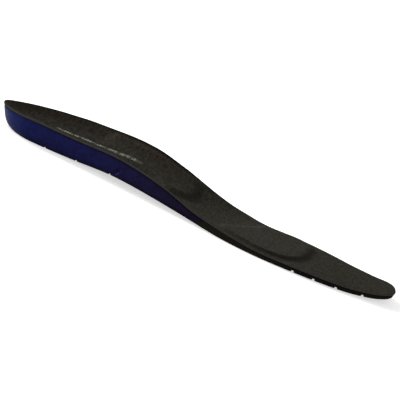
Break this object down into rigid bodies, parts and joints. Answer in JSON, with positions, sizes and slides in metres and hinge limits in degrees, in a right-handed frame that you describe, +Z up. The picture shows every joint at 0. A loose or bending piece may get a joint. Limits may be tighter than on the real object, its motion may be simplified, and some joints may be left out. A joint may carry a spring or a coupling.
{
  "type": "memory foam insole",
  "caption": "Full-length cupped insole for a right shoe: charcoal fabric cover with raised pads over a navy foam heel and arch cup and a black grooved forefoot foam.",
  "frame": {"origin": "on the ground under the middle of the insole's length and width", "axes": "+X from heel to toe, +Y towards the medial side (the arch), +Z up"},
  "size_m": [0.288, 0.0976, 0.0235],
  "materials": {
    "cover_fabric": "matt charcoal knitted fabric with a fine nap",
    "navy_foam": "satin navy blue moulded foam",
    "black_foam": "matt near-black foam with fine cells"
  },
  "bodies": {
    "root": {"top_cover": "cover_fabric", "heel_cup": "navy_foam", "foam_base": "black_foam"}
  },
  "joints": []
}
